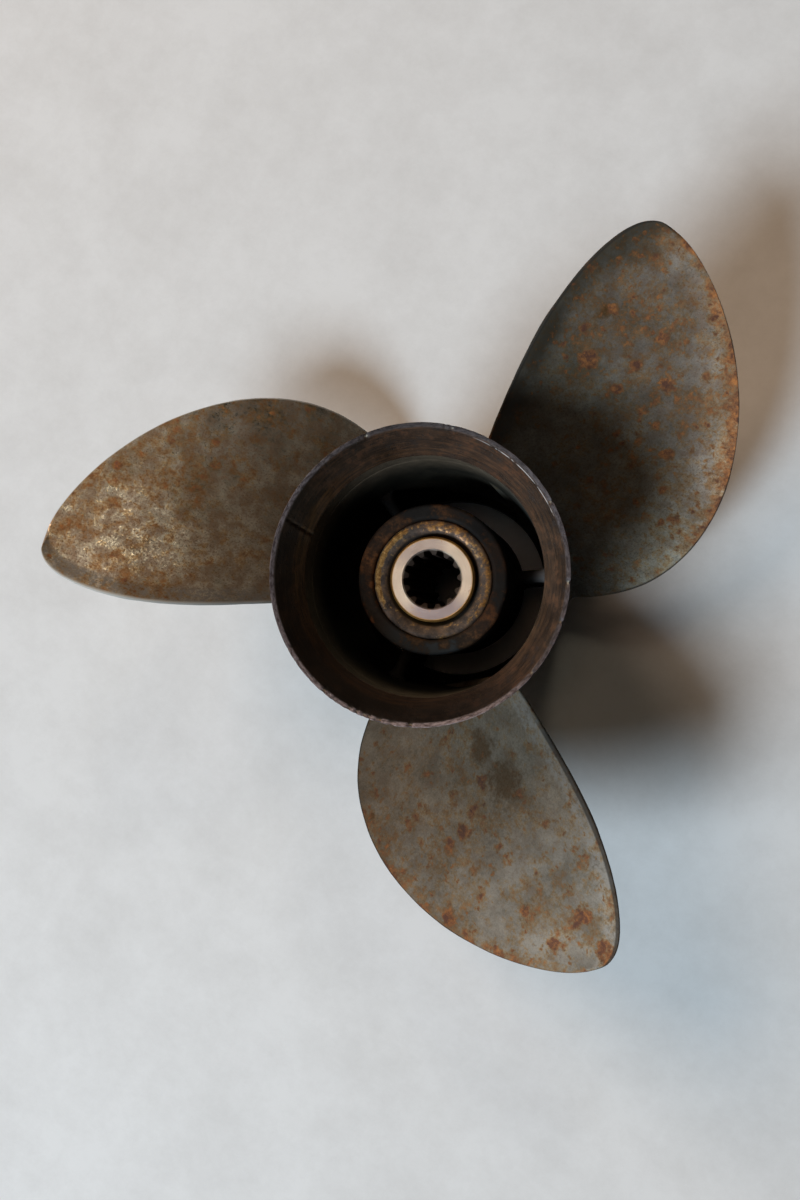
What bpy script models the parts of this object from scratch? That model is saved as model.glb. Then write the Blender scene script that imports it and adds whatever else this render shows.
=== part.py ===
"""A three-blade boat propeller whose exhaust leaves through its hub, standing on its barrel's front end.

Everything is in metres and degrees. The origin is on the shaft's axis, in the plane of the barrel's
front end, and +Z points aft along the shaft, which is up as the propeller stands. Angles are taken
about +Z from +X, and at each blade a smaller angle is nearer its leading edge.
"""

import math

import bmesh
import bpy
from mathutils import Vector

# Gap that neighbouring pieces keep
GAP = 0.0003

# Barrel: the outer tube that carries the blades, with the flare on its aft end
OVERALL_LENGTH = 0.130
BARREL_RADIUS = 0.054
BARREL_WALL_AFT = 0.004
BARREL_WALL_FRONT = 0.0065
FRONT_LIP_WALL = 0.010
FRONT_LIP_LENGTH = 0.008
FRONT_CONE_LENGTH = 0.006
BARREL_CHAMFER = 0.0015

# Exhaust flare: the widening ring on the barrel's aft end, with a cone inside its mouth
FLARE_LENGTH = 0.026
FLARE_REACH = 0.0074
RIM_WIDTH = 0.0022
RIM_SLANT = 0.0008
MOUTH_DEPTH = 0.0143
FLARE_CURVE = 2.0

# Inner hub: the tube that holds the rubber bushing
HUB_BORE = 0.0263
HUB_WALL_AFT = 0.0067
HUB_WALL_FRONT = 0.0071
HUB_RECESS_AFT = 0.040
HUB_RECESS_FRONT = 0.006
HUB_ROUND = 0.002

# Ribs that carry the inner hub inside the barrel
RIB_COUNT = 3
RIB_ANGLE = 33.5
RIB_THICKNESS = 0.0056
RIB_LENGTH = 0.050
RIB_RECESS = 0.006

# Rubber bushing between the hub and the sleeve
BUSHING_RECESS_AFT = 0.0012
BUSHING_RECESS_FRONT = 0.004
BUSHING_GROOVE_WIDTH = 0.0012
BUSHING_GROOVE_DEPTH = 0.003
BUSHING_ROUND = 0.0012

# Drive sleeve with its internal spline
SLEEVE_RADIUS = 0.0186
SLEEVE_PROUD_AFT = 0.0005
SLEEVE_PROUD_FRONT = 0.004
SLEEVE_CHAMFER = 0.0008
SPLINE_TEETH = 13
SPLINE_ANGLE = 20.0
SPLINE_TIP_RADIUS = 0.0108
SPLINE_DEPTH = 0.0019
SPLINE_GROOVE_WIDTH = 0.0022
SPLINE_FLANK_ANGLE = 28.0
SPLINE_LEAD_IN = 0.0025

# Blades, each drawn on a screw surface of its own pitch and rake
BLADE_COUNT = 3
BLADE_ANGLE = 90.0
TIP_RADIUS = 0.17335
BLADE_HEIGHT = 0.0771
PITCH_ROOT = 0.347
PITCH_TIP = 0.438
RAKE_ANGLE = 18.5
ROOT_SPAN_ANGLE = 73.5
SPAN_TAPER_RATIO = 0.569
SPAN_TAPER_CURVE = 1.74
TIP_FULLNESS = 3.43
MIDDLE_ROOT_ANGLE = -28.4
MIDDLE_TIP_ANGLE = -6.7
SKEW_CURVE = 2.08
BLADE_THICK_ROOT = 0.0095
BLADE_THICK_TIP = 0.0030
BLADE_EDGE = 0.0016
EDGE_ROUNDNESS = 0.8
CUP_HEIGHT = 0.0018
CUP_WIDTH = 0.009
CUP_GROWTH_RATIO = 0.5
ROOT_FILLET = 0.006

# Where the pieces end, from the sizes above
FLARE_START = OVERALL_LENGTH - FLARE_LENGTH
BORE_AFT = BARREL_RADIUS - BARREL_WALL_AFT
BORE_FRONT = BARREL_RADIUS - BARREL_WALL_FRONT
FRONT_OPENING = BARREL_RADIUS - FRONT_LIP_WALL
LIP_END = FRONT_LIP_LENGTH + FRONT_CONE_LENGTH
RIM_RADIUS = BARREL_RADIUS + FLARE_REACH
HUB_AFT = OVERALL_LENGTH - HUB_RECESS_AFT
HUB_FRONT = HUB_RECESS_FRONT
BUSHING_AFT = HUB_AFT - BUSHING_RECESS_AFT
BUSHING_FRONT = HUB_FRONT + BUSHING_RECESS_FRONT
SLEEVE_AFT = HUB_AFT + SLEEVE_PROUD_AFT
SLEEVE_FRONT = HUB_FRONT - SLEEVE_PROUD_FRONT
RIB_FRONT = HUB_FRONT + RIB_RECESS
RIB_AFT = RIB_FRONT + RIB_LENGTH

# How finely round and curved shapes are divided
TURN_STEPS = 72
SLEEVE_STEPS_PER_TOOTH = 4
FLARE_STEPS = 6
ROUND_STEPS = 3
FILLET_STEPS = 3
RIB_ARC_STEPS = 6
BLADE_CHORD_STEPS = 16
BLADE_SPAN_STEPS = 14
ROOT_CAP_STEPS = 5
TIP_CROWDING = 2.2
SMOOTH_ANGLE = 32.0

# Colour, metallic and roughness of each finish
SOOTED_STEEL = ((0.13, 0.10, 0.08), 0.55, 0.68)
RUST_SPECKLED_STEEL = ((0.33, 0.31, 0.27), 0.75, 0.45)
AGED_RUBBER = ((0.22, 0.14, 0.07), 0.0, 0.6)
WORN_BRONZE = ((0.86, 0.66, 0.50), 1.0, 0.3)


def clear_scene():
    for old in list(bpy.data.objects):
        bpy.data.objects.remove(old, do_unlink=True)


def finish_of(piece_name, finish):
    """A material for one piece."""
    colour, metallic, roughness = finish
    material = bpy.data.materials.new(piece_name + "_finish")
    material.use_nodes = True
    shader = material.node_tree.nodes["Principled BSDF"]
    shader.inputs["Base Color"].default_value = (*colour, 1.0)
    shader.inputs["Metallic"].default_value = metallic
    shader.inputs["Roughness"].default_value = roughness
    material.diffuse_color = (*colour, 1.0)
    return material


def add_piece(name, mesh, finish, axis):
    """Puts a mesh in the scene as a named piece that hangs from the shaft's axis."""
    piece = bpy.data.objects.new(name, mesh)
    piece.parent = axis
    bpy.context.scene.collection.objects.link(piece)
    if not mesh.materials:
        mesh.materials.append(finish_of(name, finish))
    return piece


def mesh_from(name, shape):
    """Closes a bmesh into a mesh with its faces outward and its round faces smooth."""
    bmesh.ops.recalc_face_normals(shape, faces=shape.faces)
    mesh = bpy.data.meshes.new(name)
    shape.to_mesh(mesh)
    shape.free()
    mesh.shade_smooth()
    mesh.set_sharp_from_angle(angle=math.radians(SMOOTH_ANGLE))
    return mesh


def turned(name, profile, steps=TURN_STEPS):
    """A ring turned about the shaft's axis from a closed profile of (radius, height) points."""
    shape = bmesh.new()
    points = [shape.verts.new((radius, 0.0, height)) for radius, height in profile]
    edges = [shape.edges.new((a, b)) for a, b in zip(points, points[1:] + points[:1])]
    bmesh.ops.spin(
        shape, geom=points + edges, cent=(0, 0, 0), axis=(0, 0, 1),
        angle=math.tau, steps=steps, use_merge=True,
    )
    return mesh_from(name, shape)


def prism(name, outline, start, end):
    """A straight bar: a closed outline of vectors, shifted to its two ends."""
    shape = bmesh.new()
    ends = [[shape.verts.new(point + shift) for point in outline] for shift in (start, end)]
    for ring in ends:
        shape.faces.new(ring)
    near, far = ends
    for i in range(len(outline)):
        j = (i + 1) % len(outline)
        shape.faces.new((near[i], near[j], far[j], far[i]))
    return mesh_from(name, shape)


def aft_corner(radius, height, size):
    """A rounded outer corner of a turned profile: a quarter circle that ends at its aft face."""
    points = []
    for i in range(ROUND_STEPS + 1):
        angle = math.pi / 2 * i / ROUND_STEPS
        points.append((
            radius - size * (1 - math.cos(angle)),
            height - size * (1 - math.sin(angle)),
        ))
    return points


def between(low, high, share):
    return low + (high - low) * share


def hub_radius(height):
    """Outer radius of the tapered inner hub at a height."""
    wall = between(HUB_WALL_FRONT, HUB_WALL_AFT, (height - HUB_FRONT) / (HUB_AFT - HUB_FRONT))
    return HUB_BORE + wall


def barrel_bore(height):
    """Inner radius of the barrel at a height: a cone behind its front lip, then a drafted wall."""
    if height < LIP_END:
        return between(FRONT_OPENING, BORE_FRONT, (height - FRONT_LIP_LENGTH) / FRONT_CONE_LENGTH)
    return between(BORE_FRONT, BORE_AFT, (height - LIP_END) / (FLARE_START - LIP_END))


def barrel_profile():
    return [
        (FRONT_OPENING, 0.0),
        (BARREL_RADIUS - BARREL_CHAMFER, 0.0),
        (BARREL_RADIUS, BARREL_CHAMFER),
        (BARREL_RADIUS, FLARE_START),
        (BORE_AFT, FLARE_START),
        (BORE_FRONT, LIP_END),
        (FRONT_OPENING, FRONT_LIP_LENGTH),
    ]


def flare_profile():
    """The flare bends outward aft, and a cone opens its mouth."""
    start = FLARE_START + GAP
    outside = []
    for i in range(FLARE_STEPS + 1):
        share = i / FLARE_STEPS
        outside.append((
            between(BARREL_RADIUS, RIM_RADIUS, share ** FLARE_CURVE),
            between(start, OVERALL_LENGTH, share),
        ))
    inside = [
        (RIM_RADIUS - RIM_WIDTH, OVERALL_LENGTH - RIM_SLANT),
        (BORE_AFT, OVERALL_LENGTH - MOUTH_DEPTH),
        (BORE_AFT, start),
    ]
    return outside + inside


def hub_profile():
    return [
        (HUB_BORE, HUB_FRONT),
        (hub_radius(HUB_FRONT), HUB_FRONT),
        *aft_corner(hub_radius(HUB_AFT), HUB_AFT, HUB_ROUND),
        (HUB_BORE, HUB_AFT),
    ]


def bushing_profile():
    outer = HUB_BORE - GAP
    inner = SLEEVE_RADIUS + GAP
    return [
        (inner, BUSHING_FRONT),
        (outer, BUSHING_FRONT),
        *aft_corner(outer, BUSHING_AFT, BUSHING_ROUND),
        (inner + BUSHING_GROOVE_WIDTH, BUSHING_AFT),
        (inner, BUSHING_AFT - BUSHING_GROOVE_DEPTH),
    ]


def sleeve_profile():
    """The sleeve before its spline is cut, with a countersink at both ends of its bore."""
    mouth = SPLINE_TIP_RADIUS + SPLINE_LEAD_IN
    return [
        (mouth, SLEEVE_FRONT),
        (SLEEVE_RADIUS - SLEEVE_CHAMFER, SLEEVE_FRONT),
        (SLEEVE_RADIUS, SLEEVE_FRONT + SLEEVE_CHAMFER),
        (SLEEVE_RADIUS, SLEEVE_AFT - SLEEVE_CHAMFER),
        (SLEEVE_RADIUS - SLEEVE_CHAMFER, SLEEVE_AFT),
        (mouth, SLEEVE_AFT),
        (SPLINE_TIP_RADIUS, SLEEVE_AFT - SPLINE_LEAD_IN),
        (SPLINE_TIP_RADIUS, SLEEVE_FRONT + SPLINE_LEAD_IN),
    ]


def make_cutter(name, mesh, axis):
    """A helper solid that only a Boolean reads."""
    cutter = bpy.data.objects.new(name, mesh)
    cutter.parent = axis
    cutter.hide_render = True
    cutter.display_type = "WIRE"
    bpy.context.scene.collection.objects.link(cutter)
    return cutter


def cut_with(piece, cutter, operation):
    modifier = piece.modifiers.new(operation.lower(), "BOOLEAN")
    modifier.operation = operation
    modifier.object = cutter


def spline_cutter(axis):
    """The grooves of the spline, as a star that is a little longer than the sleeve."""
    inside = SPLINE_TIP_RADIUS - 2 * GAP
    bottom = SPLINE_TIP_RADIUS + SPLINE_DEPTH
    half_root = SPLINE_GROOVE_WIDTH / 2
    half_inside = half_root + (bottom - inside) * math.tan(math.radians(SPLINE_FLANK_ANGLE))
    groove = [
        (inside, -half_inside),
        (bottom, -half_root),
        (bottom, half_root),
        (inside, half_inside),
    ]
    star = []
    for tooth in range(SPLINE_TEETH):
        turn = math.radians(SPLINE_ANGLE + 360.0 * tooth / SPLINE_TEETH)
        for x, y in groove:
            star.append(Vector((
                x * math.cos(turn) - y * math.sin(turn),
                x * math.sin(turn) + y * math.cos(turn),
                0.0,
            )))
    over = 10 * GAP
    low = Vector((0, 0, SLEEVE_FRONT - over))
    high = Vector((0, 0, SLEEVE_AFT + over))
    return make_cutter("spline_grooves", prism("spline_grooves", star, low, high), axis)


def make_sleeve(axis):
    steps = SPLINE_TEETH * SLEEVE_STEPS_PER_TOOTH
    sleeve = add_piece("drive_sleeve", turned("drive_sleeve", sleeve_profile(), steps), WORN_BRONZE, axis)
    cut_with(sleeve, spline_cutter(axis), "DIFFERENCE")


def passage_ring(axis):
    """The space between hub and barrel that the ribs cross, with the gap taken off both walls."""
    low = RIB_FRONT - GAP
    high = RIB_AFT + GAP
    heights = sorted({low, max(LIP_END, low), high})
    barrel_side = [(barrel_bore(height) - GAP, height) for height in heights]
    hub_side = [(hub_radius(height) + GAP, height) for height in (high, low)]
    return make_cutter("passage_ring", turned("passage_ring", barrel_side + hub_side), axis)


def make_ribs(axis):
    """Each rib is a round-ended bar, trimmed to the walls that it joins."""
    half = RIB_THICKNESS / 2
    outline = []
    for middle, start in ((RIB_AFT - half, 0.0), (RIB_FRONT + half, math.pi)):
        for i in range(RIB_ARC_STEPS + 1):
            angle = start + math.pi * i / RIB_ARC_STEPS
            outline.append(Vector((0.0, half * math.cos(angle), middle + half * math.sin(angle))))
    mesh = prism("rib", outline, Vector((HUB_BORE, 0, 0)), Vector((BARREL_RADIUS, 0, 0)))
    ring = passage_ring(axis)
    for i in range(RIB_COUNT):
        rib = add_piece(f"rib_{i + 1}", mesh, SOOTED_STEEL, axis)
        rib.rotation_euler.z = math.radians(RIB_ANGLE + 360.0 * i / RIB_COUNT)
        cut_with(rib, ring, "INTERSECT")


def smooth_step(share):
    share = min(max(share, 0.0), 1.0)
    return share * share * (3 - 2 * share)


class BladeSection:
    """The blade cut by a cylinder about the shaft. Places on it are lengths along the chord, from
    its middle towards the trailing edge, and depths forward of the line between its edges."""

    def __init__(self, radius):
        share = min((radius - BARREL_RADIUS) / (TIP_RADIUS - BARREL_RADIUS), 1.0)
        taper = 1 - SPAN_TAPER_RATIO * share ** SPAN_TAPER_CURVE
        span = math.radians(ROOT_SPAN_ANGLE) * taper * math.sqrt(1 - share ** TIP_FULLNESS)
        middle = between(MIDDLE_ROOT_ANGLE, MIDDLE_TIP_ANGLE, share ** SKEW_CURVE)
        self.radius = radius
        self.advance = between(PITCH_ROOT, PITCH_TIP, share) / math.tau
        self.slope = math.atan2(self.advance, radius)
        self.base = BLADE_HEIGHT + (radius - BARREL_RADIUS) * math.tan(math.radians(RAKE_ANGLE))
        self.middle = math.radians(middle)
        self.fillet = root_fillet(radius - BARREL_RADIUS - GAP)
        self.thick = between(BLADE_THICK_ROOT, BLADE_THICK_TIP, share)
        self.nose_reach = EDGE_ROUNDNESS * (BLADE_EDGE / 2 + self.fillet)
        outline = span / 2 * radius / math.cos(self.slope)
        without_nose = max(outline - EDGE_ROUNDNESS * BLADE_EDGE / 2, BLADE_EDGE / 2)
        self.half_chord = without_nose + self.fillet
        self.cup_width = min(CUP_WIDTH, self.half_chord)
        grown = smooth_step(share / CUP_GROWTH_RATIO)
        self.cup = CUP_HEIGHT * grown * (self.cup_width / CUP_WIDTH) ** 2

    def point(self, along, depth):
        """A place on the section, turned into a point with the blade's reference line along +X."""
        cupped = self.cup * smooth_step(1 - (self.half_chord - along) / self.cup_width)
        forward = depth - cupped
        around = along * math.cos(self.slope) / self.radius
        angle = self.middle + around + forward * math.sin(self.slope) / self.radius
        height = self.base + self.advance * (self.middle + around) - forward * math.cos(self.slope)
        return Vector((self.radius * math.cos(angle), self.radius * math.sin(angle), height))

    def face_depth(self):
        """Depth of the flat pressure face."""
        return -BLADE_EDGE / 2 - self.fillet

    def back_depth(self, share):
        """Depth of the suction face, which bulges between the edges."""
        bulge = max(self.thick - BLADE_EDGE, 0.0) * (1 - share * share)
        return BLADE_EDGE / 2 + self.fillet + bulge

    def nose(self, side):
        """The rounded outermost point of the leading (-1) or trailing (1) edge."""
        return self.point(side * (self.half_chord + self.nose_reach), 0.0)


def root_fillet(above_root):
    """How far the round foot of a blade stands out of its faces, at a distance from the barrel."""
    rest = max(ROOT_FILLET - above_root, 0.0)
    return ROOT_FILLET - math.sqrt(max(ROOT_FILLET ** 2 - rest ** 2, 0.0))


def blade_radii():
    """Radii of the sections: close together in the root fillet and towards the rounded tip."""
    foot = BARREL_RADIUS + GAP
    clear = foot + ROOT_FILLET
    radii = []
    for i in range(FILLET_STEPS):
        radii.append(clear - ROOT_FILLET * math.cos(math.pi / 2 * i / FILLET_STEPS))
    for i in range(BLADE_SPAN_STEPS + 1):
        share = 1 - (1 - i / BLADE_SPAN_STEPS) ** TIP_CROWDING
        radii.append(between(clear, TIP_RADIUS, share))
    return radii


def chord_shares():
    """Places along the chord, closer together towards both edges."""
    shares = []
    for j in range(BLADE_CHORD_STEPS + 1):
        even = j / BLADE_CHORD_STEPS
        shares.append(between(2 * even - 1, -math.cos(math.pi * even), 0.5))
    return shares


def close_end(shape, section, ring, shares, strips):
    """Fills one end of the blade with strips that follow the cylinder of its section."""
    count = len(shares)
    face = ring[:count]
    trailing = ring[count]
    back = ring[count + 1:2 * count + 1][::-1]
    leading = ring[-1]
    columns = []
    for share, front_vert, back_vert in zip(shares, face, back):
        deepest = section.back_depth(share)
        column = [front_vert]
        for k in range(1, strips):
            depth = between(section.face_depth(), deepest, k / strips)
            column.append(shape.verts.new(section.point(share * section.half_chord, depth)))
        columns.append(column + [back_vert])
    for left, right in zip(columns, columns[1:]):
        for k in range(strips):
            shape.faces.new((left[k], left[k + 1], right[k + 1], right[k]))
    for tip, column in ((leading, columns[0]), (trailing, columns[-1])):
        for k in range(strips):
            shape.faces.new((tip, column[k], column[k + 1]))


def blade_mesh():
    """One blade, skinned over its sections from root to tip."""
    shape = bmesh.new()
    shares = chord_shares()
    sections = [BladeSection(radius) for radius in blade_radii()]
    rings = []
    for section in sections:
        chord = section.half_chord
        face = [section.point(share * chord, section.face_depth()) for share in shares]
        back = [section.point(share * chord, section.back_depth(share)) for share in shares]
        loop = face + [section.nose(1)] + back[::-1] + [section.nose(-1)]
        rings.append([shape.verts.new(point) for point in loop])
    for lower, upper in zip(rings, rings[1:]):
        for i in range(len(lower)):
            j = (i + 1) % len(lower)
            shape.faces.new((lower[i], lower[j], upper[j], upper[i]))
    close_end(shape, sections[0], rings[0], shares, ROOT_CAP_STEPS)
    close_end(shape, sections[-1], rings[-1], shares, 1)
    return mesh_from("blade", shape)


def make_blades(axis):
    mesh = blade_mesh()
    for i in range(BLADE_COUNT):
        blade = add_piece(f"blade_{i + 1}", mesh, RUST_SPECKLED_STEEL, axis)
        blade.rotation_euler.z = math.radians(BLADE_ANGLE + 360.0 * i / BLADE_COUNT)


def main():
    clear_scene()
    axis = bpy.data.objects.new("shaft_axis", None)
    bpy.context.scene.collection.objects.link(axis)
    add_piece("barrel", turned("barrel", barrel_profile()), SOOTED_STEEL, axis)
    add_piece("exhaust_flare", turned("exhaust_flare", flare_profile()), SOOTED_STEEL, axis)
    add_piece("inner_hub", turned("inner_hub", hub_profile()), SOOTED_STEEL, axis)
    add_piece("rubber_bushing", turned("rubber_bushing", bushing_profile()), AGED_RUBBER, axis)
    make_sleeve(axis)
    make_ribs(axis)
    make_blades(axis)


main()
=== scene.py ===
# %% [markdown]
# This lesson dresses a used boat propeller whose exhaust leaves through its hub. The solids come
# packed from CAD and are exact but plain. Here each one gets a finer shape around the same sizes,
# and a finish that shows its age: dull cast steel under rust, a sooty bore, greasy rubber and a
# bright bronze sleeve.

import math
import random

import bpy
from mathutils import Matrix, Vector


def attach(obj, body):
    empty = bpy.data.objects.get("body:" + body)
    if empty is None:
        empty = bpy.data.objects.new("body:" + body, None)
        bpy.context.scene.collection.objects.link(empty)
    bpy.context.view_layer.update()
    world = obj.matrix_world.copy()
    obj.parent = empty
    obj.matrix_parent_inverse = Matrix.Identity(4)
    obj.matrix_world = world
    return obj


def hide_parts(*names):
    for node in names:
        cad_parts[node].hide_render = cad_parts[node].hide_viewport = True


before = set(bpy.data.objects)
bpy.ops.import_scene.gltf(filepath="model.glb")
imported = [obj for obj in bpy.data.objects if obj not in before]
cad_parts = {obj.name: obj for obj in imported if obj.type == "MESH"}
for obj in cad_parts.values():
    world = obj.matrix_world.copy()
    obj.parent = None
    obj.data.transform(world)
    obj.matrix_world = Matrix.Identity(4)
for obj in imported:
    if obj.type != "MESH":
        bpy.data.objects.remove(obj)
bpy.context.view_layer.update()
print("solids:", sorted(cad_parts))

# %% [markdown]
# The camera stands almost straight above the propeller and looks a little sideways. Its place and
# turn were found by fitting the blades' outlines and the rims, so they are plain numbers here. The
# lens is given for a frame 36 mm high, because the picture is taller than it is wide.

# %% Camera
CAMERA_PLACE = (0.0800, 0.0171, 0.5748)
CAMERA_TURN = 30.0
CAMERA_LEAN = (1.89, 10.75)
CAMERA_LENS = 33.93


def turn(degrees, axis):
    return Matrix.Rotation(math.radians(degrees), 4, axis)


camera_data = bpy.data.cameras.new("camera")
camera_data.sensor_fit = "VERTICAL"
camera_data.sensor_height = 36.0
camera_data.lens = CAMERA_LENS
camera_data.clip_start = 0.01
camera = bpy.data.objects.new("camera", camera_data)
bpy.context.collection.objects.link(camera)
leaning = turn(CAMERA_LEAN[1], "Y") @ turn(CAMERA_LEAN[0], "X")
camera.matrix_world = Matrix.Translation(CAMERA_PLACE) @ turn(CAMERA_TURN, "Z") @ leaning
bpy.context.scene.camera = camera
print("camera", CAMERA_PLACE)

# %% [markdown]
# One large cool lamp, half-way up on one side, gives the soft shadows. A warm and wider one on the
# next side fills them, a small warm one makes the left blade glint, and a weak one overhead reaches
# the floor through the exhaust passages. The rest of the room is nearly dark, as the deep bore
# shows. How strong each lamp is was worked out from what it must add to the floor's tone.

# %% Light
LAMP_DISTANCE = 6.0
FLOOR_PALENESS = 0.73
ROOM_COLOUR = (1.0, 0.95, 0.90)
ROOM_STRENGTH = 0.009
LAMPS = {  # direction and height in degrees, size in metres, tone
    "key_lamp": (257.0, 46.0, 2.5, (0.362, 0.430, 0.482)),
    "warm_fill": (166.0, 42.0, 3.4, (0.218, 0.158, 0.111)),
    "small_glow": (109.0, 42.0, 0.9, (0.0215, 0.0190, 0.0145)),
    "overhead": (130.0, 83.0, 0.84, (0.0104, 0.0070, 0.0048)),
}


def add_lamp(name, turned, raised, size, tone):
    """A round lamp that aims at the propeller and adds this tone to the floor there."""
    up = math.sin(math.radians(raised))
    out = math.cos(math.radians(raised))
    side = (math.cos(math.radians(turned)) * out, math.sin(math.radians(turned)) * out, up)
    place = Vector(side) * LAMP_DISTANCE
    data = bpy.data.lights.new(name, "AREA")
    data.shape = "DISK"
    data.size = size
    data.color = [part / max(tone) for part in tone]
    data.energy = max(tone) * (math.pi * LAMP_DISTANCE) ** 2 / (FLOOR_PALENESS * up)
    lamp = bpy.data.objects.new(name, data)
    bpy.context.collection.objects.link(lamp)
    lamp.location = place
    lamp.rotation_euler = (-place).to_track_quat("-Z", "Y").to_euler()
    print(name, "at", [round(v, 2) for v in place], round(data.energy), "W")


for name, lamp in LAMPS.items():
    add_lamp(name, *lamp)
world = bpy.data.worlds.new("room")
world.use_nodes = True
background = world.node_tree.nodes["Background"].inputs
background["Color"].default_value = (*ROOM_COLOUR, 1.0)
background["Strength"].default_value = ROOM_STRENGTH
bpy.context.scene.world = world
bpy.context.scene.view_settings.view_transform = "Standard"

# %% [markdown]
# Materials are built from nodes, so a small recipe book saves typing. Each method adds a node or a
# few to a tree, sets their inputs, and gives back the output that the next step reads.

# %% Node recipes
class Recipe:
    def __init__(self, tree):
        self.tree = tree

    def add(self, kind, inputs=None, **settings):
        node = self.tree.nodes.new(kind)
        for name, value in settings.items():
            setattr(node, name, value)
        for name, value in (inputs or {}).items():
            self.plug(value, node.inputs[name])
        return node

    def plug(self, value, socket):
        """Feeds a socket from another one, or sets it to a plain value or colour."""
        if isinstance(value, bpy.types.NodeSocket):
            self.tree.links.new(value, socket)
        else:
            socket.default_value = (*value, 1.0) if socket.type == "RGBA" else value

    def noise(self, vector, scale, detail=3.0, roughness=0.55):
        inputs = {"Vector": vector, "Scale": scale, "Detail": detail, "Roughness": roughness}
        return self.add("ShaderNodeTexNoise", inputs).outputs["Fac"]

    def sway(self, amount, *noise):
        """A noise that swings around 0 by an amount."""
        return self.times(self.minus(self.noise(*noise), 0.5), amount)

    def maths(self, operation, result, *others):
        """Works through the values from the first to the last."""
        for other in others:
            result = self.add("ShaderNodeMath", {0: result, 1: other}, operation=operation).outputs[0]
        return result

    def plus(self, *values):
        return self.maths("ADD", *values)

    def minus(self, *values):
        return self.maths("SUBTRACT", *values)

    def times(self, *values):
        return self.maths("MULTIPLY", *values)

    def most(self, *values):
        return self.maths("MAXIMUM", *values)

    def off(self, value, target):
        """How far a value is from a target."""
        return self.maths("ABSOLUTE", self.minus(value, target), 0.0)

    def vector(self, operation, first, second=(0.0, 0.0, 0.0)):
        node = self.add("ShaderNodeVectorMath", {0: first, 1: second}, operation=operation)
        return node.outputs["Value" if operation in ("LENGTH", "DISTANCE", "DOT_PRODUCT") else "Vector"]

    def dim(self, colour, factor):
        """A colour or a place times a factor."""
        node = self.add("ShaderNodeVectorMath", {0: colour, "Scale": factor}, operation="SCALE")
        return node.outputs["Vector"]

    def step(self, value, low, high, to_low=0.0, to_high=1.0):
        """A soft step: to_low below low, to_high above high, smooth between."""
        return self.add("ShaderNodeMapRange", {
            "Value": value, "From Min": low, "From Max": high, "To Min": to_low, "To Max": to_high,
        }, interpolation_type="SMOOTHSTEP").outputs["Result"]

    def mix(self, factor, first, second, blend="MIX"):
        """A colour between two colours, or the first tinted by the second."""
        inputs = {0: factor, 6: first, 7: second}
        return self.add("ShaderNodeMix", inputs, data_type="RGBA", blend_type=blend).outputs[2]

    def blend(self, factor, first, second):
        """A value between two values."""
        return self.add("ShaderNodeMix", {0: factor, 2: first, 3: second}, data_type="FLOAT").outputs[0]

    def tint(self, value, *stops):
        """A colour ramp from (place, colour) stops."""
        node = self.add("ShaderNodeValToRGB", {"Fac": value})
        marks = node.color_ramp.elements
        while len(marks) < len(stops):
            marks.new(0.5)
        for mark, (place, colour) in zip(marks, stops):
            mark.position = place
            mark.color = (*colour, 1.0)
        return node.outputs["Color"]

    def attribute(self, name):
        return self.add("ShaderNodeAttribute", attribute_name=name).outputs["Fac"]

    def group(self, tree, **inputs):
        return self.add("ShaderNodeGroup", inputs, node_tree=tree).outputs

    def surface(self, shader, colour, metal, rough, height, strength, distance):
        """Feeds the shader, and bumps the surface by a height."""
        bump = self.add("ShaderNodeBump", {"Height": height, "Strength": strength, "Distance": distance})
        for value, socket in ((colour, "Base Color"), (metal, "Metallic"), (rough, "Roughness"),
                              (bump.outputs["Normal"], "Normal")):
            self.plug(value, shader.inputs[socket])


def new_group(name, inputs, outputs):
    """An empty node group with named sockets, and a recipe to fill it."""
    tree = bpy.data.node_groups.new(name, "ShaderNodeTree")
    for side, sockets in (("INPUT", inputs), ("OUTPUT", outputs)):
        for socket, kind in sockets.items():
            tree.interface.new_socket(socket, in_out=side, socket_type="NodeSocket" + kind)
    recipe = Recipe(tree)
    given = recipe.add("NodeGroupInput").outputs
    result = recipe.add("NodeGroupOutput").inputs
    return tree, recipe, given, result


def new_material(name):
    material = bpy.data.materials.new(name)
    material.use_nodes = True
    recipe = Recipe(material.node_tree)
    shader = material.node_tree.nodes["Principled BSDF"]
    place = recipe.add("ShaderNodeTexCoord").outputs["Object"]
    return material, recipe, shader, place


print("recipes ready")

# %% [markdown]
# Cast stainless steel that has been in water is dull grey, never even, and carries a thin brown film
# in clouds. The same fine noise goes into the steel's tone and into the film, so that both share
# their speckle.

# %% Cast steel, a shared effect
STEEL_LIGHT = (0.318, 0.296, 0.250)
STEEL_DARK = (0.122, 0.108, 0.083)
FILM_COLOUR = (0.115, 0.072, 0.041)


def make_cast_steel():
    tree, r, given, result = new_group(
        "cast_steel", {"Vector": "Vector", "Dirt": "Float"},
        {"Color": "Color", "Film": "Float", "Mottle": "Float"},
    )
    place = given["Vector"]
    mottle = r.noise(place, 460.0, 6.0, 0.78)
    fine_share = r.times(mottle, 0.45)
    broad = r.times(r.noise(place, 46.0, 6.0, 0.64), 0.55)
    colour = r.tint(r.plus(broad, fine_share), (0.41, STEEL_DARK), (0.58, STEEL_LIGHT))
    clouds = r.plus(r.times(r.noise(place, 120.0, 7.0, 0.74), 0.55), fine_share)
    film = r.step(r.plus(clouds, given["Dirt"]), 0.50, 0.66)
    r.plug(r.mix(r.times(film, 0.85), colour, FILM_COLOUR), result["Color"])
    r.plug(film, result["Film"])
    r.plug(mottle, result["Mottle"])
    return tree


cast_steel = make_cast_steel()
print("group:", cast_steel.name)

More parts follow.
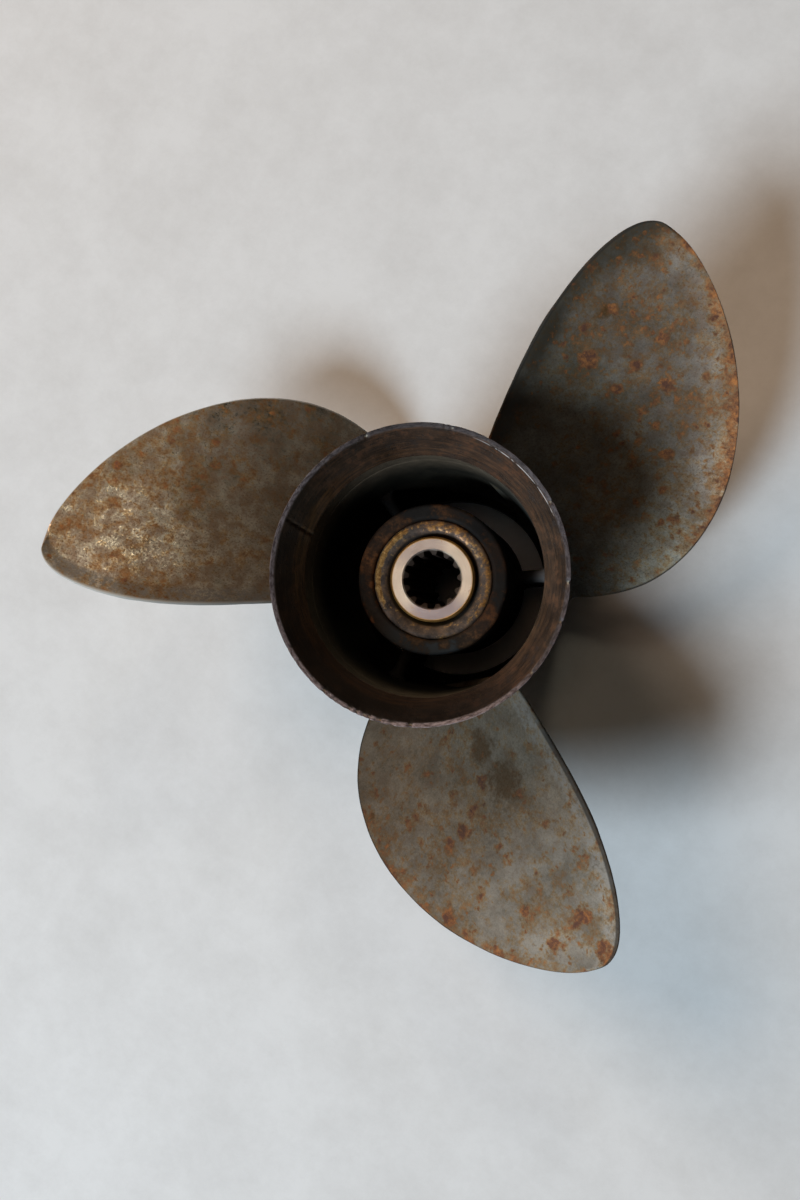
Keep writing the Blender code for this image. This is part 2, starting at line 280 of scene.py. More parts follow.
# %% [markdown]
# Rust on stainless castings blooms. A thin olive stain spreads first, orange-brown spots grow in it,
# and the oldest spots have dark purple cores. Amount says how much rust a place should have, and
# noise at three scales makes that ragged. Three soft steps turn the sum into stain, rust and core.
# Because all three read the same sum, every core lies in a spot and every spot in a stain.

# %% Rust bloom, a shared effect
STAIN_TINT = (1.00, 0.78, 0.48)
RUST_TONES = [
    (0.38, (0.085, 0.030, 0.013)), (0.50, (0.190, 0.068, 0.020)), (0.64, (0.345, 0.128, 0.032)),
]
CORE_COLOUR = (0.080, 0.030, 0.020)


def make_rust_bloom():
    tree, r, given, result = new_group(
        "rust_bloom", {"Vector": "Vector", "Metal": "Color", "Amount": "Float", "Brightness": "Float"},
        {"Color": "Color", "Rust": "Float", "Height": "Float"},
    )
    place = given["Vector"]
    field = given["Amount"]
    for scale, detail, share in ((55.0, 4.0, 1.0), (210.0, 6.0, 1.3), (800.0, 3.0, 0.5)):
        field = r.plus(field, r.sway(share, place, scale, detail, 0.70))
    stain = r.step(field, 0.30, 0.60)
    rust = r.step(field, 0.46, 0.80)
    broken = r.step(r.noise(place, 290.0, 5.0, 0.65), 0.47, 0.57)
    core = r.times(r.step(field, 0.66, 0.90), broken)
    colour = r.mix(r.times(stain, 0.9), given["Metal"], STAIN_TINT, "MULTIPLY")
    tone = r.dim(r.tint(r.noise(place, 330.0, 6.0, 0.72), *RUST_TONES), given["Brightness"])
    colour = r.mix(r.times(rust, 0.88), colour, tone)
    r.plug(r.mix(r.times(core, 0.75), colour, CORE_COLOUR), result["Color"])
    r.plug(rust, result["Rust"])
    r.plug(r.times(rust, r.noise(place, 1500.0, 3.0)), result["Height"])
    return tree


rust_bloom = make_rust_bloom()
print("group:", rust_bloom.name)

# %% [markdown]
# Small round spots start where a pit held water. Cells scatter them: each cell has one point, a
# random number that says whether a spot grows there, and another for its size. The place is shifted
# a little by noise first, so that no spot is a clean disc.

# %% Freckles, a shared effect
def make_freckles():
    tree, r, given, result = new_group(
        "freckles", {"Vector": "Vector", "Scale": "Float", "Size": "Float", "Share": "Float"},
        {"Mask": "Float"},
    )
    noise = r.add("ShaderNodeTexNoise", {"Vector": given["Vector"], "Scale": 330.0, "Detail": 4.0})
    shift = r.dim(r.vector("SUBTRACT", noise.outputs["Color"], (0.5, 0.5, 0.5)), 0.006)
    place = r.vector("ADD", given["Vector"], shift)
    cell = r.add("ShaderNodeTexVoronoi", {"Vector": place, "Scale": given["Scale"]}).outputs
    drawn = r.add("ShaderNodeSeparateColor", {"Color": cell["Color"]}).outputs
    grows = r.step(r.minus(given["Share"], drawn["Red"]), -0.04, 0.04)
    size = r.times(given["Size"], r.plus(drawn["Green"], 0.45))
    spot = r.step(r.maths("DIVIDE", cell["Distance"], size), 1.0, 0.1)
    r.plug(r.times(grows, spot), result["Mask"])
    return tree


freckles = make_freckles()
print("group:", freckles.name)

# %% [markdown]
# Cast and handled metal has a grain: tiny pits that hold dirt, and a fine unevenness. Cells give the
# pits and a fine noise the rest. The group puts out both, and a height for the bump.

# %% Pitted grain, a shared effect
def make_pitted_grain():
    tree, r, given, result = new_group(
        "pitted_grain", {"Vector": "Vector", "Fineness": "Float"},
        {"Pits": "Float", "Grain": "Float", "Height": "Float"},
    )
    place = r.dim(given["Vector"], given["Fineness"])
    few = r.step(r.noise(place, 240.0, 3.0), 0.45, 0.62)
    cell = r.add("ShaderNodeTexVoronoi", {"Vector": place, "Scale": 800.0}).outputs["Distance"]
    pits = r.times(r.step(cell, 0.30, 0.12), few)
    grain = r.noise(place, 1100.0, 5.0, 0.75)
    r.plug(pits, result["Pits"])
    r.plug(grain, result["Grain"])
    r.plug(r.minus(grain, pits), result["Height"])
    return tree


pitted_grain = make_pitted_grain()
print("group:", pitted_grain.name)

# %% [markdown]
# Some marks have a place of their own, such as an old stain on one blade. A mark is a soft ball: it
# is 1 in the middle and fades to 0 at its radius, and a noise makes its outline ragged.

# %% A mark at one place, a shared effect
def make_mark():
    tree, r, given, result = new_group(
        "mark", {"Vector": "Vector", "Middle": "Vector", "Radius": "Float"}, {"Mask": "Float"},
    )
    away = r.vector("DISTANCE", given["Vector"], given["Middle"])
    ragged = r.sway(2.2, given["Vector"], 260.0, 5.0, 0.65)
    share = r.plus(r.maths("DIVIDE", away, given["Radius"]), ragged)
    r.plug(r.step(share, 1.15, 0.35), result["Mask"])
    return tree


mark_group = make_mark()
print("group:", mark_group.name)


def marks(r, place, spots):
    """The strongest of several marks, each (x, y, z, radius) in metres."""
    return r.most(0.0, *[
        r.group(mark_group, Vector=place, Middle=spot[:3], Radius=spot[3])["Mask"] for spot in spots
    ])


# %% [markdown]
# Turned pieces start as a circle. It is extruded ring by ring, each ring moved along the shaft and
# scaled to its radius, until the last ring meets the first. That is how one would do it by hand, and
# it leaves clean loops for the bevels.

# %% Turning a ring
TURN_STEPS = 192
MERGE_DISTANCE = 0.000005


def edit_all():
    bpy.ops.object.mode_set(mode="EDIT")
    bpy.ops.mesh.select_all(action="SELECT")


def close_skin():
    """Leaves edit mode with all normals outward."""
    bpy.ops.mesh.select_all(action="SELECT")
    bpy.ops.mesh.normals_make_consistent(inside=False)
    bpy.ops.object.mode_set(mode="OBJECT")


def turned_ring(name, profile, steps=TURN_STEPS):
    """A closed ring from (radius, height) points, listed so that the wall closes on itself."""
    bpy.ops.object.select_all(action="DESELECT")
    radius, height = profile[0]
    bpy.ops.mesh.primitive_circle_add(vertices=steps, radius=radius, location=(0, 0, height))
    piece = bpy.context.object
    piece.name = piece.data.name = name
    edit_all()
    for (old, low), (new, high) in zip(profile, profile[1:] + profile[:1]):
        bpy.ops.mesh.extrude_region_move(TRANSFORM_OT_translate={"value": (0, 0, high - low)})
        bpy.ops.transform.resize(value=(new / old, new / old, 1), center_override=(0, 0, 0))
    bpy.ops.mesh.select_all(action="SELECT")
    bpy.ops.mesh.remove_doubles(threshold=MERGE_DISTANCE)
    close_skin()
    bpy.ops.object.transform_apply(location=True, rotation=True, scale=True)
    return piece


print("rings have", TURN_STEPS, "points unless a piece says otherwise")

# %% [markdown]
# A few more tools finish a piece: round edges, smooth shading, and a push of each point along its
# normal. A push follows a small noise or weights given point by point. Soft steps make the weights.

# %% Rounding, smoothing and pushing
def only(piece):
    """Selects one piece and makes it the active one."""
    bpy.ops.object.select_all(action="DESELECT")
    piece.select_set(True)
    bpy.context.view_layer.objects.active = piece


def apply_modifier(piece, kind, **settings):
    only(piece)
    modifier = piece.modifiers.new(kind.lower(), kind)
    for name, value in settings.items():
        setattr(modifier, name, value)
    bpy.ops.object.modifier_apply(modifier=modifier.name)


def round_edges(piece, width, angle=30.0, segments=3):
    apply_modifier(
        piece, "BEVEL", width=width, segments=segments, limit_method="ANGLE",
        angle_limit=math.radians(angle),
    )


def smooth_piece(piece, angle=40.0):
    only(piece)
    bpy.ops.object.shade_smooth_by_angle(angle=math.radians(angle))


def push(piece, name, depth, weights, **settings):
    """Moves each point along its normal by depth times its weight."""
    if weights is not None:
        group = piece.vertex_groups.new(name=name)
        for index, weight in enumerate(weights):
            if weight > 0.0:
                group.add([index], weight, "REPLACE")
        settings["vertex_group"] = name
    apply_modifier(piece, "DISPLACE", strength=depth, **settings)


def dent(piece, name, size, depth, weights=None):
    """Pushes a piece's surface in and out by a small noise, as casting and use leave it."""
    texture = bpy.data.textures.new(name, "CLOUDS")
    texture.noise_scale = size
    push(piece, name, depth, weights, texture=texture, texture_coords="LOCAL", mid_level=0.5)


def between(low, high, share):
    return low + (high - low) * share


def line_of_rings(first, last, steps):
    """(radius, height) points from one point to another, with both ends."""
    return [(between(first[0], last[0], i / steps), between(first[1], last[1], i / steps))
            for i in range(steps + 1)]


def soft(share):
    """A smooth step from 0 to 1."""
    share = min(max(share, 0.0), 1.0)
    return share * share * (3 - 2 * share)


def facts(piece):
    print(piece.name, len(piece.data.vertices), "points")


print("shaping tools ready")

# %% [markdown]
# The barrel is the outer tube that exhaust gas leaves through. Its wall is drafted, thicker towards
# the front, where a lip carries the thrust. The blades grow out of it, so its outside shows only
# between them.

# %% Barrel
BARREL_RADIUS = 0.054
FLARE_START = 0.104
GAP = 0.0003
BORE_AFT = 0.050
BORE_FRONT = 0.0475
FRONT_OPENING = 0.044
LIP_LENGTH = 0.008
LIP_END = 0.014
FRONT_CHAMFER = 0.0015
WALL_STEPS = 30

barrel_end = FLARE_START + GAP
barrel = turned_ring("barrel_casting", [
    (FRONT_OPENING, 0.0),
    (BARREL_RADIUS - FRONT_CHAMFER, 0.0),
    *line_of_rings((BARREL_RADIUS, FRONT_CHAMFER), (BARREL_RADIUS, barrel_end), WALL_STEPS),
    *line_of_rings((BORE_AFT, barrel_end), (BORE_FRONT, LIP_END), WALL_STEPS),
    (FRONT_OPENING, LIP_LENGTH),
])
round_edges(barrel, 0.0006, 25.0)
smooth_piece(barrel)
facts(barrel)

# %% [markdown]
# The flare keeps exhaust from being drawn back into the blades. Its outside bends outward, its mouth
# is a cone cut on a lathe, and its rim is thin, so years of bumps have nicked it. Each nick pushes
# the rim in over a millimetre or two, at places drawn with a fixed seed, with a cluster of them at
# one side. The ring is rolled from strip, and the joint shows as a slanting groove across the cone.

# %% Flare
RIM_HEIGHT = 0.130
RIM_RADIUS = 0.0614
RIM_WIDTH = 0.0022
RIM_SLANT = 0.0008
MOUTH_DEPTH = 0.0143
FLARE_CURVE = 2.0
OUTSIDE_STEPS = 30
CONE_STEPS = 22
BORE_STEPS = 8
NICKS = 46
NICK_CLUSTER = 262.0
NICK_REACH = 0.0032
SEAM_TURN = 186.5
SEAM_SLANT = 2.6
SEAM_WIDTHS = (0.5, 1.3)
GROOVE_DEPTH = 0.0007

mouth_end = RIM_HEIGHT - MOUTH_DEPTH
outside = [
    (between(BARREL_RADIUS, RIM_RADIUS, (i / OUTSIDE_STEPS) ** FLARE_CURVE),
     between(barrel_end, RIM_HEIGHT, i / OUTSIDE_STEPS))
    for i in range(OUTSIDE_STEPS + 1)
]
face = [(RIM_RADIUS - RIM_WIDTH / 2, RIM_HEIGHT - RIM_SLANT / 2)]
mouth = line_of_rings(
    (RIM_RADIUS - RIM_WIDTH, RIM_HEIGHT - RIM_SLANT), (BORE_AFT, mouth_end), CONE_STEPS,
)
bore = line_of_rings((BORE_AFT, mouth_end), (BORE_AFT, barrel_end), BORE_STEPS)[1:]
flare = turned_ring("flare_casting", outside + face + mouth + bore, 480)
round_edges(flare, 0.0005, 18.0, 4)


def turned_to(co):
    return math.degrees(math.atan2(co.y, co.x)) % 360.0


def apart(first, second):
    """The angle between two directions, in degrees."""
    return abs((first - second + 180.0) % 360.0 - 180.0)


rng = random.Random(13)
nicks = []
for i in range(NICKS):
    where = rng.gauss(NICK_CLUSTER, 14.0) if i % 3 == 0 else rng.uniform(0.0, 360.0)
    nicks.append((where % 360.0, rng.uniform(0.5, 1.6), rng.uniform(0.1, 1.0) ** 2))
dents = []
for v in flare.data.vertices:
    near = soft(1.0 - (RIM_HEIGHT - v.co.z) / NICK_REACH)
    here = turned_to(v.co)
    cuts = [d * soft(1.0 - apart(here, where) / wide) for where, wide, d in nicks] if near else []
    dents.append(near * min(sum(cuts), 1.0))
push(flare, "rim_nicks", -GROOVE_DEPTH, dents, mid_level=0.0)
seam = []
for v in flare.data.vertices:
    deep = (RIM_HEIGHT - v.co.z) / MOUTH_DEPTH
    inside_wall = math.hypot(v.co.x, v.co.y) < BORE_AFT + (1.0 - deep) * 0.0095 + 0.0004
    from_line = apart(turned_to(v.co), SEAM_TURN + SEAM_SLANT * deep)
    across = soft(1.0 - from_line / between(*SEAM_WIDTHS, min(deep, 1.0)))
    seam.append(across * soft(deep * 5.0) * soft((1.15 - deep) * 6.0) if inside_wall else 0.0)
push(flare, "strip_joint", -GROOVE_DEPTH, seam, mid_level=0.0)
skin = [soft((RIM_HEIGHT - v.co.z) / 0.003) for v in flare.data.vertices]
dent(flare, "flare_skin", 0.006, 0.00018, skin)
smooth_piece(flare, 55.0)
facts(flare)

# %% [markdown]
# The inner hub is a tube on the shaft's line, a little wider at the front. The rubber bushing is
# pressed into it. Only its aft end shows, a ring with a well-rounded outer edge.

# %% Inner hub
HUB_BORE = 0.0263
HUB_AFT = 0.090
HUB_FRONT = 0.006
HUB_RADIUS_AFT = 0.033
HUB_RADIUS_FRONT = 0.0334

hub = turned_ring("hub_casting", [
    (HUB_BORE, HUB_FRONT),
    *line_of_rings((HUB_RADIUS_FRONT, HUB_FRONT), (HUB_RADIUS_AFT, HUB_AFT), 24),
    (between(HUB_RADIUS_AFT, HUB_BORE, 0.35), HUB_AFT),
    (between(HUB_RADIUS_AFT, HUB_BORE, 0.7), HUB_AFT),
    (HUB_BORE, HUB_AFT),
])
round_edges(hub, 0.0016, 25.0, 5)
dent(hub, "hub_pits", 0.004, 0.0003)
smooth_piece(hub)
facts(hub)

# %% [markdown]
# The rubber bushing lets the propeller give a little when it strikes something. Its end is domed
# where the rubber bulges out of the hub, with a groove against the sleeve.

# %% Bushing
SLEEVE_RADIUS = 0.0186
BUSHING_AFT = 0.0888
BUSHING_FRONT = 0.010
BUSHING_OUTER = HUB_BORE - GAP / 2
BUSHING_INNER = SLEEVE_RADIUS + GAP / 3

DOME = [  # inward from the outside, and down from the end
    (0.0, 0.0014), (0.0003, 0.0006), (0.0009, 0.0001), (0.0020, 0.0), (0.0034, 0.0001),
    (0.0046, 0.0004), (0.0056, 0.0010),
]
END_GROOVE = [(0.0010, 0.0020), (0.0004, 0.0036), (0.0, 0.0040)]  # outward from the sleeve, and down

dome = [(BUSHING_OUTER - inward, BUSHING_AFT - down) for inward, down in DOME]
bushing = turned_ring("bushing_rubber", [
    (BUSHING_INNER, BUSHING_FRONT),
    *line_of_rings((BUSHING_OUTER, BUSHING_FRONT), dome[0], 10),
    *dome[1:],
    *[(BUSHING_INNER + outward, BUSHING_AFT - down) for outward, down in END_GROOVE],
])
dent(bushing, "rubber_lumps", 0.003, 0.0005)
smooth_piece(bushing, 60.0)
facts(bushing)

# %% [markdown]
# The drive sleeve is bronze, with thirteen teeth inside that fit the shaft. It is turned as a plain
# ring that has twenty-four points for each tooth. Then the points of its bore are moved out wherever
# there is a groove between two teeth. At both ends the bore widens in a short cone.

# %% Drive sleeve
SLEEVE_AFT = 0.0905
SLEEVE_FRONT = 0.002
SLEEVE_CHAMFER = 0.0008
SPLINE_TEETH = 13
SPLINE_TURN = 20.0
TOOTH_RADIUS = 0.0108
GROOVE_RADIUS = 0.0127
LEAD_RADIUS = 0.0133
POINTS_PER_TOOTH = 24
LEAD_LENGTH = 0.0025
FLANK_RADIUS = 0.0118
HALF_TOOTH = 0.0011
FLANK_WIDTH = 0.0010


def tooth_radius(turned):
    """Bore radius at an angle: grooves with sloping flanks between flat-topped teeth."""
    pitch = math.tau / SPLINE_TEETH
    off = ((turned - math.radians(SPLINE_TURN)) / pitch + 0.5) % 1.0 - 0.5
    up_flank = (abs(off) * pitch * FLANK_RADIUS - HALF_TOOTH) / FLANK_WIDTH
    return between(GROOVE_RADIUS, TOOTH_RADIUS, soft(up_flank))


bore_aft = (TOOTH_RADIUS, SLEEVE_AFT - LEAD_LENGTH)
bore_front = (TOOTH_RADIUS, SLEEVE_FRONT + LEAD_LENGTH)
sleeve = turned_ring("sleeve_bronze", [
    (LEAD_RADIUS, SLEEVE_FRONT),
    (SLEEVE_RADIUS - SLEEVE_CHAMFER, SLEEVE_FRONT),
    (SLEEVE_RADIUS, SLEEVE_FRONT + SLEEVE_CHAMFER),
    (SLEEVE_RADIUS, SLEEVE_AFT - SLEEVE_CHAMFER),
    (SLEEVE_RADIUS - SLEEVE_CHAMFER, SLEEVE_AFT),
    *line_of_rings((LEAD_RADIUS, SLEEVE_AFT), bore_aft, 6),
    *line_of_rings(bore_aft, bore_front, 12)[1:],
    *line_of_rings(bore_front, (LEAD_RADIUS, SLEEVE_FRONT), 6)[1:-1],
], SPLINE_TEETH * POINTS_PER_TOOTH)
for v in sleeve.data.vertices:
    radius = math.hypot(v.co.x, v.co.y)
    if radius < GROOVE_RADIUS:
        wanted = max(radius, tooth_radius(math.atan2(v.co.y, v.co.x)))
        v.co.x *= wanted / radius
        v.co.y *= wanted / radius
smooth_piece(sleeve, 35.0)
facts(sleeve)

# %% [markdown]
# Three ribs carry the hub inside the barrel. Each starts as a circle, stretched along the shaft into
# a round-ended bar and extruded outward. It is a little thicker at both ends, where the casting has a
# fillet, and it runs into the walls so that no seam shows.

# %% Ribs
RIB_TURN = 33.5
RIB_THICKNESS = 0.0056
RIB_FRONT = 0.012
RIB_AFT = 0.062
RIB_FILLET = 0.0045
RIB_START = 0.0322
RIB_END = 0.0492
RIB_STATIONS = 16


def rib_swell(share):
    """How much thicker the rib is near the walls, as a factor."""
    reach = (RIB_END - RIB_START) / 2
    to_wall = reach - abs(share - 0.5) * 2 * reach
    rest = max(1 - to_wall / RIB_FILLET, 0.0)
    return 1 + 2 * RIB_FILLET * (1 - math.sqrt(1 - rest * rest)) / RIB_THICKNESS


def make_rib(name, degrees):
    bpy.ops.object.select_all(action="DESELECT")
    half = RIB_THICKNESS / 2
    middle = (RIB_FRONT + RIB_AFT) / 2
    bpy.ops.mesh.primitive_circle_add(
        vertices=32, radius=half, fill_type="NGON", location=(RIB_START, 0, middle),
        rotation=(0, math.pi / 2, 0),
    )
    rib = bpy.context.object
    rib.name = rib.data.name = name
    bpy.ops.object.transform_apply(location=True, rotation=True, scale=True)
    stretch = (RIB_AFT - RIB_FRONT) / 2 - half
    for v in rib.data.vertices:
        v.co.z += stretch if v.co.z > middle else -stretch
    edit_all()
    swell = rib_swell(0.0)
    bpy.ops.transform.resize(value=(1, swell, 1), center_override=(0, 0, middle))
    for i in range(RIB_STATIONS):
        fresh = rib_swell((i + 1) / RIB_STATIONS)
        step = (RIB_END - RIB_START) / RIB_STATIONS
        bpy.ops.mesh.extrude_region_move(TRANSFORM_OT_translate={"value": (step, 0, 0)})
        bpy.ops.transform.resize(value=(1, fresh / swell, 1), center_override=(0, 0, middle))
        swell = fresh
    bpy.ops.mesh.select_all(action="SELECT")
    bpy.ops.transform.rotate(
        value=-math.radians(degrees), orient_axis="Z", center_override=(0, 0, 0),
    )
    close_skin()
    smooth_piece(rib, 50.0)
    return rib


ribs = [make_rib(f"rib_{i + 1}_casting", RIB_TURN + 120.0 * i) for i in range(3)]
for rib in ribs:
    far = max(rib.data.vertices, key=lambda v: v.co.x ** 2 + v.co.y ** 2).co
    print(rib.name, "points at", round(math.degrees(math.atan2(far.y, far.x)), 1), "degrees")

# %% [markdown]
# A blade is a slice of a screw: at each radius its section lies on a helix, and the pitch, the middle
# and the length of the section change on the way out. A flat grid is the start. Its rows become
# sections from root to tip, and its columns run round each section, so the grid is wrapped into a
# closed skin. Each point also notes how far it is from both edges, for the finish to read.

# %% The blade's sections
TIP_RADIUS = 0.1732
BLADE_HEIGHT = 0.0771
PITCH_ROOT = 0.347
PITCH_TIP = 0.438
RAKE = 18.5
ROOT_SPAN = 73.5
SPAN_TAPER = 0.569
TAPER_CURVE = 1.74
TIP_FULLNESS = 3.43
MIDDLE_ROOT = -28.4
MIDDLE_TIP = -6.7
SKEW_CURVE = 2.08
THICK_ROOT = 0.0095
THICK_TIP = 0.0030
EDGE = 0.0016
EDGE_ROUNDNESS = 0.8
CUP_HEIGHT = 0.0018
CUP_WIDTH = 0.009
ROOT_FILLET = 0.006
ROOT_SINK = 0.0004


class Section:
    def __init__(self, radius):
        share = min(max((radius - BARREL_RADIUS) / (TIP_RADIUS - BARREL_RADIUS), 0.0), 1.0)
        span = math.radians(ROOT_SPAN) * (1 - SPAN_TAPER * share ** TAPER_CURVE)
        span *= math.sqrt(1 - share ** TIP_FULLNESS)
        rest = min(max(ROOT_FILLET - (radius - BARREL_RADIUS), 0.0), ROOT_FILLET)
        self.radius = radius
        self.share = share
        self.advance = between(PITCH_ROOT, PITCH_TIP, share) / math.tau
        self.slope = math.atan2(self.advance, radius)
        self.base = BLADE_HEIGHT + (radius - BARREL_RADIUS) * math.tan(math.radians(RAKE))
        self.middle = math.radians(between(MIDDLE_ROOT, MIDDLE_TIP, share ** SKEW_CURVE))
        self.fillet = ROOT_FILLET - math.sqrt(ROOT_FILLET ** 2 - rest ** 2)
        to_tip = min((TIP_RADIUS - radius) / EDGE, 1.0)
        self.close = math.sqrt(max(1 - (1 - to_tip) ** 2, 0.0))
        self.half_edge = (EDGE / 2 + self.fillet) * self.close
        outline = span / 2 * radius / math.cos(self.slope)
        self.reach = min(EDGE_ROUNDNESS * EDGE / 2, outline)
        self.half_chord = outline - self.reach + self.fillet
        self.reach += EDGE_ROUNDNESS * self.fillet
        self.bulge = max(between(THICK_ROOT, THICK_TIP, share) - EDGE, 0.0) * self.close
        self.cup_width = min(CUP_WIDTH, max(self.half_chord, 0.0001))
        self.cup = CUP_HEIGHT * soft(2 * share) * (self.cup_width / CUP_WIDTH) ** 2

    def point(self, along, depth):
        cupped = self.cup * soft(1 - (self.half_chord - along) / self.cup_width)
        forward = depth - cupped
        around = along * math.cos(self.slope) / self.radius
        angle = self.middle + around + forward * math.sin(self.slope) / self.radius
        height = self.base + self.advance * (self.middle + around) - forward * math.cos(self.slope)
        return Vector((self.radius * math.cos(angle), self.radius * math.sin(angle), height))

    def on_loop(self, kind, value):
        """A place on the section's outline: on the face, on the back, or round one of its edges."""
        if kind == "face":
            return value * self.half_chord, -self.half_edge
        if kind == "back":
            return value * self.half_chord, self.half_edge + self.bulge * (1 - value * value)
        side = 1 if kind == "trailing" else -1
        along = self.half_chord + self.reach * math.cos(value)
        return side * along, self.half_edge * math.sin(value)


FACE_STEPS = 74
NOSE_STEPS = 8
ROOT_ROWS = 9
SPAN_ROWS = 84


def chord_share(j):
    even = j / FACE_STEPS
    return between(2 * even - 1, -math.cos(math.pi * even), 0.6)


half_turn = [math.pi / NOSE_STEPS * k - math.pi / 2 for k in range(1, NOSE_STEPS)]
loop = [("leading", -a) for a in half_turn if a >= 0]
loop += [("face", chord_share(j)) for j in range(FACE_STEPS + 1)]
loop += [("trailing", a) for a in half_turn]
loop += [("back", chord_share(FACE_STEPS - j)) for j in range(FACE_STEPS + 1)]
loop += [("leading", -a) for a in half_turn if a <= 0]
rows = [BARREL_RADIUS - ROOT_SINK]
rows += [BARREL_RADIUS + ROOT_FILLET * (1 - math.cos(math.pi / 2 * i / ROOT_ROWS))
         for i in range(ROOT_ROWS)]
rows += [between(BARREL_RADIUS + ROOT_FILLET, TIP_RADIUS, 1 - (1 - i / SPAN_ROWS) ** 2)
         for i in range(SPAN_ROWS + 1)]
print("blade grid:", len(loop), "by", len(rows))

# %% [markdown]
# The loop above starts and ends at the middle of the leading edge, so the grid's first and last
# columns meet there and are merged. The blade is wrapped once and copied twice, each copy with
# its own mesh turned to its place, and only then dented, so that no two are worn alike.

# %% Blades
def wrap_blade(name):
    bpy.ops.object.select_all(action="DESELECT")
    last_column, last_row = len(loop) - 1, len(rows) - 1
    bpy.ops.mesh.primitive_grid_add(x_subdivisions=last_column, y_subdivisions=last_row, size=2.0)
    blade = bpy.context.object
    blade.name = blade.data.name = name
    sections = [Section(radius) for radius in rows]
    mesh = blade.data
    notes = {key: mesh.attributes.new(key, "FLOAT", "POINT")
             for key in ("from_leading", "from_trailing", "span")}
    for v in mesh.vertices:
        column = round((v.co.x + 1) / 2 * last_column)
        row = round((v.co.y + 1) / 2 * last_row)
        section = sections[row]
        along, depth = section.on_loop(*loop[column])
        notes["from_leading"].data[v.index].value = section.half_chord + along
        notes["from_trailing"].data[v.index].value = section.half_chord - along
        notes["span"].data[v.index].value = section.share
        v.co = section.point(along, depth)
    edit_all()
    bpy.ops.mesh.remove_doubles(threshold=0.8 * MERGE_DISTANCE)
    bpy.ops.mesh.select_all(action="DESELECT")
    bpy.ops.mesh.select_mode(type="EDGE")
    bpy.ops.mesh.select_non_manifold()
    bpy.ops.mesh.edge_face_add()
    bpy.ops.mesh.select_mode(type="VERT")
    close_skin()
    return blade


pattern = wrap_blade("blade_1_casting")
blades = [pattern]
for i in (1, 2):
    copy = pattern.copy()
    copy.data = pattern.data.copy()
    copy.name = copy.data.name = f"blade_{i + 1}_casting"
    bpy.context.collection.objects.link(copy)
    blades.append(copy)
for i, blade in enumerate(blades):
    blade.data.transform(turn(90.0 + 120.0 * i, "Z"))
    radii = [math.hypot(v.co.x, v.co.y) for v in blade.data.vertices]
    clear = [soft((out - BARREL_RADIUS - 0.004) / 0.010) * soft((TIP_RADIUS - out) / 0.012)
             for out in radii]
    dent(blade, f"casting_waves_{i + 1}", 0.022, 0.0006, clear)
    dent(blade, f"casting_skin_{i + 1}", 0.004, 0.00012, clear)
    smooth_piece(blade, 50.0)
    facts(blade)

# %% [markdown]
# Blade steel is dull grey under a brown film that the water leaves. Rust gathers along the edges and
# towards the tip, more on one blade than another, so those amounts are values of each blade's own
# finish, and so are a few marks. The cupped trailing edge is rubbed lighter or greyer. A thin line of
# painted shade runs along both edges, on the second blade a painted highlight instead, and the colour is
# painted darker at the root and lighter towards the tip, as shade and highlight.

# %% Blade finish
TRAILING_SHADE_COLOUR = (0.050, 0.040, 0.026)
EVEN_COLOUR = (0.215, 0.200, 0.170)
SPECK_COLOUR = (0.070, 0.045, 0.026)
MARK_COLOUR = (0.108, 0.058, 0.018)
FRECKLES = [(105.0, 0.34, 0.34), (230.0, 0.36, 0.26)]  # cells in a metre, size, and what they add
# Each band along an edge fades between two distances from it, in metres.
RUST_BAND = (0.001, 0.022)
LIT_BAND = (0.045, 0.008)
CUP_BAND = (0.0065, 0.0100)
TRAILING_SHADE_BAND = (0.0, 0.020)
LINE_BAND = (0.0011, 0.0001)


